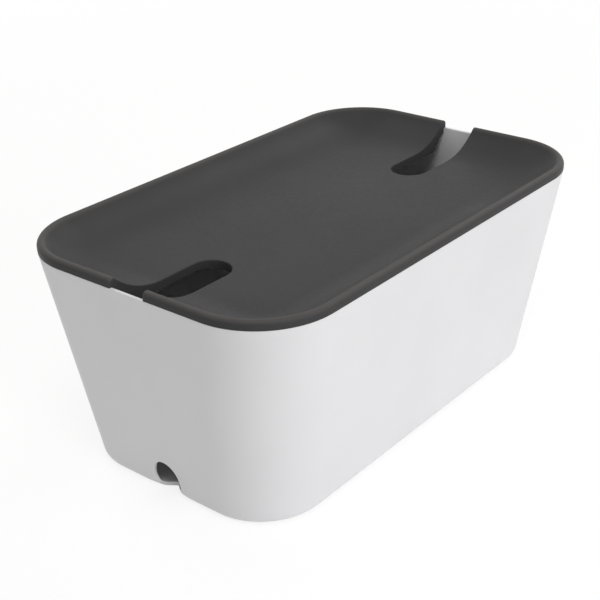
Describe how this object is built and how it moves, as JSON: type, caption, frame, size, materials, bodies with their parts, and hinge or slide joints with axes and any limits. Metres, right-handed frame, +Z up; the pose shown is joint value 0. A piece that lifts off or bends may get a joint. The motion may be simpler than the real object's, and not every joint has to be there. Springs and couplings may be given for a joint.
{
  "type": "cable management box",
  "caption": "Tapered box with rounded corners and a dished lift-off lid; slots in the lid and arched holes at the foot let cables out of a hidden power strip.",
  "frame": {"origin": "middle of the footprint, on the surface that the feet stand on", "axes": "+X along the length towards the right-hand cable slot, +Y to the rear long wall, +Z up"},
  "size_m": [0.305, 0.19, 0.1331],
  "materials": {
    "tub": "fine satin moulded white",
    "lid": "matt dark grey",
    "feet": "matt grey rubber"
  },
  "bodies": {
    "tub": {"tub": "tub", "foot_front_left": "feet", "foot_front_right": "feet", "foot_rear_left": "feet", "foot_rear_right": "feet"},
    "lid": {"lid": "lid"}
  },
  "joints": [
    {"name": "lid_lift", "type": "slide", "parent": "tub", "child": "lid", "axis": [0, 0, 1], "range_m": [0, 0.15]}
  ]
}
